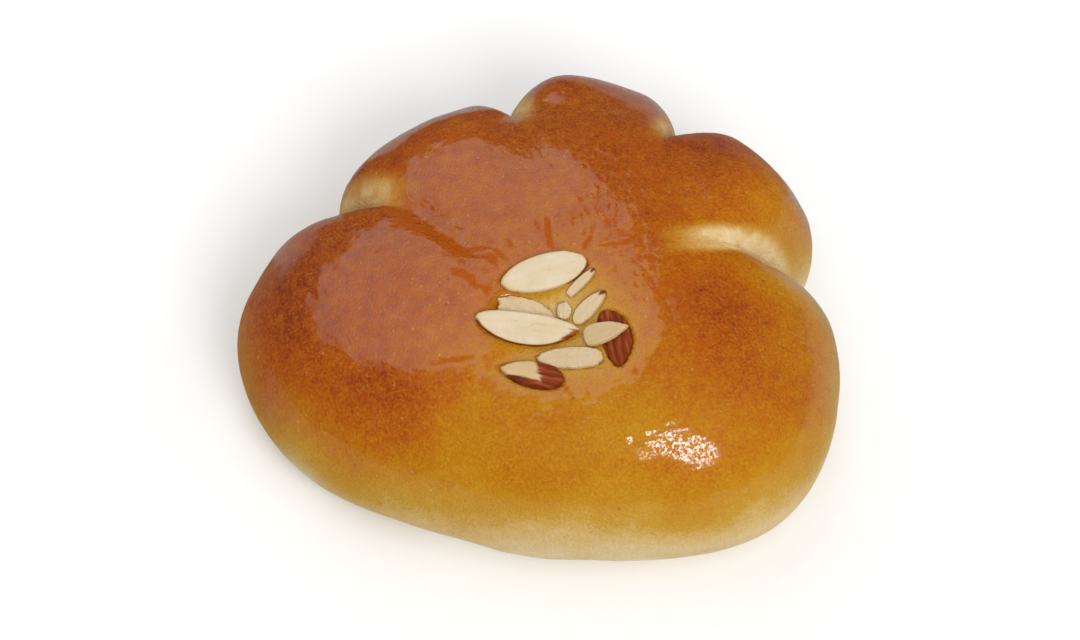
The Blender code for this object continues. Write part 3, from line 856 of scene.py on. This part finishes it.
def spots_group():
    """Small round spots, from 0 to 1: they fall off from the middles of cells, in a share of the cells."""
    group, start, end = new_group("spots", ("Scale", "Size", "Share"), ("Spots",))
    place = add_node(group, "ShaderNodeTexCoord").outputs["Object"]
    cells = add_node(group, "ShaderNodeTexVoronoi", Vector=place, Scale=start.outputs["Scale"])
    share = add_math(group, "DIVIDE", cells.outputs["Distance"], start.outputs["Size"])
    bump = add_math(group, "SUBTRACT", 1.0, share)
    bump = add_math(group, "MAXIMUM", bump, 0.0)
    bright = add_node(group, "ShaderNodeSeparateColor")
    group.links.new(cells.outputs["Color"], bright.inputs[0])
    chosen = add_math(group, "LESS_THAN", bright.outputs[0], start.outputs["Share"])
    spots = scaled(group, bump, chosen)
    group.links.new(spots, end.inputs["Spots"])
    return group


def use_group(tree, group, **values):
    """Put a node group in a material, with its own values by input name (underscores for spaces)."""
    node = add_node(tree, "ShaderNodeGroup", node_tree=group)
    for key, value in values.items():
        node.inputs[key.replace("_", " ")].default_value = value
    return node


def read_attributes(tree, *names):
    """Nodes that read the mesh's fields; returns their outputs."""
    return [add_node(tree, "ShaderNodeAttribute", attribute_name=name).outputs["Fac"] for name in names]


def new_material(name):
    """A new material, its node tree and its Principled BSDF."""
    material = bpy.data.materials.new(name)
    material.use_nodes = True
    return material, material.node_tree, material.node_tree.nodes["Principled BSDF"]


def add_bump(tree, height, distance, below=None):
    """A bump node for a height, as deep as a distance in metres, over a bump below it; returns its normal."""
    node = add_node(tree, "ShaderNodeBump", Height=height, Distance=distance)
    if below is not None:
        tree.links.new(below, node.inputs["Normal"])
    return node.outputs["Normal"]


# Bake of the crust: level and linear colour, from cream dough to the darkest brown
BAKE_COLOURS = (
    (0.00, (0.80, 0.66, 0.44)),
    (0.07, (0.65, 0.50, 0.27)),
    (0.15, (0.60, 0.41, 0.155)),
    (0.30, (0.505, 0.270, 0.020)),
    (0.45, (0.475, 0.200, 0.004)),
    (0.60, (0.440, 0.138, 0.004)),
    (0.75, (0.385, 0.085, 0.005)),
    (0.88, (0.30, 0.052, 0.006)),
    (1.00, (0.19, 0.030, 0.006)),
)

# Pale walls of the slits: paleness and colour, and how soon they cover the bake
PALE_COLOURS = ((0.15, (0.57, 0.30, 0.04)), (0.50, (0.63, 0.42, 0.16)), (0.95, (0.74, 0.59, 0.37)))
PALE_COVER = 1.6

# Spots of the crust: cells to a metre, size in a cell, share of the cells that have one
SPECKS = dict(Scale=1150.0, Size=0.34, Share=0.40)
PIMPLES = dict(Scale=560.0, Size=0.22, Share=0.22)
PITS = dict(Scale=200.0, Size=0.11, Share=0.50)

# Layers over the bake: strength and colour
SPECK_LAYER = (0.26, (0.64, 0.36, 0.05, 1.0))
PIMPLE_LAYER = (0.48, (0.66, 0.40, 0.12, 1.0))
PIT_LAYER = (0.70, (0.27, 0.060, 0.008, 1.0))
MARK_LAYER = (0.85, (0.39, 0.080, 0.004, 1.0))

# Factor and offset: unevenness of the colour by the bake, roughness by the mottle and then by the wash alone,
# gloss film and its beads by the fine height. Bump distances are in metres
CRUST_UNEVEN = (0.32, 0.04)
CRUST_ROUGH = (0.14, 0.58)
WASH_SMOOTH = -0.36
CRUST_FILM = (3.4, 0.92)
CRUST_BEADS = (9.0, -0.35)
CRUST_BUMP = 0.00042
PIMPLE_BUMP = 0.00018
PIT_BUMP = -0.00022

# Cut almond: tone and colour of the flesh, of the brown skin, and where the rim starts; layers over the flesh
FLESH_COLOURS = ((0.15, (0.60, 0.47, 0.29)), (0.45, (0.65, 0.54, 0.37)), (0.85, (0.70, 0.62, 0.48)))
SKIN_COLOURS = ((0.1, (0.095, 0.015, 0.004)), (0.5, (0.21, 0.034, 0.008)), (0.9, (0.36, 0.09, 0.022)))
RIM_SPAN = ((0.82, (0, 0, 0)), (0.98, (1, 1, 1)))
CORE_LAYER = (0.22, (0.60, 0.46, 0.23, 1.0))
GOLD_COLOUR = (0.53, 0.33, 0.13, 1.0)
RIM_LAYER = (0.40, (0.60, 0.42, 0.17, 1.0))
FIBRE_STRETCH = 0.12
FLESH_CONTRAST = 0.7
RIDGE_CONTRAST = 2.4

# Factor and offset: roughness by the mottle and then by wetness alone, lumps by wetness; coat by wetness
ALMOND_ROUGH = (0.25, 0.46)
WET_SMOOTH = -0.30
WET_LUMPS = (4.0, 1.0)
WET_COAT = 0.8
FIBRE_BUMP = 0.00010
LUMP_BUMP = 0.00006


def crust_material(mottle, spots):
    """Egg-washed crust: uneven bake colours with specks, pale pimples, dark pits, broken marks and the slits'
    pale walls, under a clear gloss that the fine height breaks up, most of all where it dried in beads."""
    material, tree, shader = new_material("egg_washed_crust")
    bake, wash, mark, pale, beaded = read_attributes(tree, "bake", "wash", "mark", "pale", "beaded")
    blotch = use_group(tree, mottle, Blotch_Scale=450.0, Grain_Scale=1700.0, Grain_Share=1.9)
    mottled, height = blotch.outputs["Mottle"], blotch.outputs["Height"]
    specks, pimples, pits = (use_group(tree, spots, **kind).outputs[0] for kind in (SPECKS, PIMPLES, PITS))
    strength = scaled(tree, bake, *CRUST_UNEVEN)
    level = scaled(tree, mottled, strength, bake)
    colour = add_ramp(tree, level, BAKE_COLOURS)
    sunken = scaled(tree, pits, wash)
    colour = tint(tree, colour, specks, SPECK_LAYER)
    colour = tint(tree, colour, pimples, PIMPLE_LAYER)
    colour = tint(tree, colour, sunken, PIT_LAYER)
    colour = tint(tree, colour, mark, MARK_LAYER)
    cream = add_ramp(tree, pale, PALE_COLOURS)
    pale_share = scaled(tree, pale, PALE_COVER)
    pale_share = add_math(tree, "MINIMUM", pale_share, 1.0)
    colour = mix_colour(tree, pale_share, colour, cream)
    rough = scaled(tree, mottled, *CRUST_ROUGH)
    rough = scaled(tree, wash, WASH_SMOOTH, rough)
    film = scaled(tree, height, *CRUST_FILM)
    beads = scaled(tree, height, *CRUST_BEADS)
    film = scaled(tree, beads, beaded, film)
    coat = scaled(tree, wash, film)
    normal = add_bump(tree, height, CRUST_BUMP)
    normal = add_bump(tree, pimples, PIMPLE_BUMP, normal)
    normal = add_bump(tree, sunken, PIT_BUMP, normal)
    feed_all(tree, shader, {"Base Color": colour, "Roughness": rough, "Coat Weight": coat, "Normal": normal,
                            "Coat Roughness": 0.10, "Specular IOR Level": 0.08})
    return material


def almond_material(mottle):
    """Cut almond: ivory with long fibres, yellow core, golden rim, and brown ridged skin by its mask."""
    material, tree, shader = new_material("cut_almond")
    skin, edge, core, gold, wet = read_attributes(tree, "skin", "edge", "core", "gold", "wet")
    along, across = read_attributes(tree, "along", "across")
    slow = scaled(tree, along, FIBRE_STRETCH)
    place = add_node(tree, "ShaderNodeCombineXYZ", X=slow, Y=across).outputs[0]
    fibres = add_node(tree, "ShaderNodeTexNoise", Vector=place, Scale=1.1, Detail=3.0, Roughness=0.5)
    blotch = use_group(tree, mottle, Blotch_Scale=260.0, Grain_Scale=1500.0, Grain_Share=0.25)
    streak = add_math(tree, "SUBTRACT", fibres.outputs["Fac"], 0.5)
    tone = scaled(tree, streak, FLESH_CONTRAST, blotch.outputs["Mottle"])
    tone = add_math(tree, "ADD", tone, 0.5)
    flesh = add_ramp(tree, tone, FLESH_COLOURS)
    flesh = tint(tree, flesh, core, CORE_LAYER)
    flesh = mix_colour(tree, gold, flesh, GOLD_COLOUR)
    rim = add_ramp(tree, edge, RIM_SPAN)
    flesh = tint(tree, flesh, rim, RIM_LAYER)
    ridge_tone = scaled(tree, streak, RIDGE_CONTRAST, 0.5)
    brown = add_ramp(tree, ridge_tone, SKIN_COLOURS)
    colour = mix_colour(tree, skin, flesh, brown)
    rough = scaled(tree, blotch.outputs["Mottle"], *ALMOND_ROUGH)
    rough = scaled(tree, wet, WET_SMOOTH, rough)
    lumpy = scaled(tree, wet, *WET_LUMPS)
    lumpy = scaled(tree, lumpy, blotch.outputs["Height"])
    normal = add_bump(tree, fibres.outputs["Fac"], FIBRE_BUMP)
    normal = add_bump(tree, lumpy, LUMP_BUMP, normal)
    coat = scaled(tree, wet, WET_COAT)
    feed_all(tree, shader, {"Base Color": colour, "Roughness": rough, "Coat Weight": coat, "Normal": normal,
                            "Coat Roughness": 0.12, "Specular IOR Level": 0.1, "Subsurface Weight": 0.10,
                            "Subsurface Radius": (1.0, 0.75, 0.45), "Subsurface Scale": 0.0004})
    return material


def make_floor():
    """A plain pale table top, wide enough to fill every view; it is greyer where it mirrors in the crust."""
    points = FLOOR_HALF * np.array([[-1, -1, 0], [1, -1, 0], [1, 1, 0], [-1, 1, 0]])
    floor = new_mesh_object("table_top", points, [[0, 1, 2, 3]])
    material, tree, shader = new_material("pale_table")
    mirrored = add_node(tree, "ShaderNodeLightPath")
    tone = mix_colour(tree, mirrored.outputs["Is Glossy Ray"], FLOOR_COLOUR, FLOOR_MIRRORED)
    feed_all(tree, shader, {"Base Color": tone, "Roughness": 0.7, "Specular IOR Level": 0.1})
    floor.data.materials.append(material)


def aim(obj, place, point):
    """Put a light or camera at a place, looking at a point, both in millimetres."""
    place, point = Vector(place) * MM, Vector(point) * MM
    obj.location = place
    obj.rotation_euler = (point - place).to_track_quat("-Z", "Y").to_euler()


def add_light(name, kind, power, place, point):
    """A light of a kind at a place, facing a point; returns the light and its settings."""
    data = bpy.data.lights.new(name, kind)
    data.energy = power
    light = bpy.data.objects.new(name, data)
    bpy.context.collection.objects.link(light)
    aim(light, place, point)
    return light, data


def add_softbox(name, place, point, width, height, power, roll):
    """An oval soft light at a place, facing a point, rolled about its own axis by some degrees."""
    lamp, data = add_light(name, "AREA", power, place, point)
    data.shape = "ELLIPSE"
    data.size = width * MM
    data.size_y = height * MM
    lamp.rotation_euler.rotate_axis("Z", math.radians(roll))


def add_fill(name, place, power):
    """An even fill from the direction of a place, too soft to mirror in the crust."""
    fill, data = add_light(name, "SUN", power, place, (0.0, 0.0, 0.0))
    data.angle = math.radians(FILL_SPREAD)
    fill.visible_glossy = False


def light_the_set():
    """A large soft light overhead at the back left, a lamp in front, and two even pale fills."""
    world = bpy.data.worlds.new("pale_room")
    world.use_nodes = True
    background = world.node_tree.nodes["Background"]
    background.inputs["Color"].default_value = (1.0, 1.0, 1.0, 1.0)
    background.inputs["Strength"].default_value = ROOM_STRENGTH
    world.cycles_visibility.glossy = False
    bpy.context.scene.world = world
    add_softbox("window_light", place=(-319.0, 432.0, 777.0), point=(0.0, 0.0, 30.0),
                width=1340.0, height=1060.0, power=3.9, roll=46.4)
    add_softbox("front_lamp", place=(305.0, -645.0, 712.0), point=(10.0, -25.0, 30.0),
                width=420.0, height=360.0, power=3.5, roll=0.0)
    add_fill("even_fill", place=(150.0, -500.0, 800.0), power=1.42)
    add_fill("right_fill", place=(900.0, 80.0, 280.0), power=0.55)


def add_camera():
    """The camera looks along +Y and down at the bun, as high over the table as the photograph's."""
    data = bpy.data.cameras.new("view_camera")
    data.sensor_width = PICTURE_WIDTH
    data.lens = LENS
    data.clip_start = 0.01
    camera = bpy.data.objects.new("view_camera", data)
    bpy.context.collection.objects.link(camera)
    rise = math.radians(VIEW_ELEVATION)
    camera.location = (VIEW_POINT + VIEW_DISTANCE * np.array([0.0, -math.cos(rise), math.sin(rise)])) * MM
    camera.rotation_euler = (math.pi / 2 - rise, 0.0, 0.0)
    bpy.context.scene.camera = camera
    bpy.context.scene.view_settings.view_transform = "Standard"


mottle = mottle_group()
spots = spots_group()
make_bun(crust_material(mottle, spots))
almond = almond_material(mottle)
for name, piece in ALMONDS.items():
    make_almond(name, piece, FINISHES[name], almond)
make_floor()
light_the_set()
add_camera()
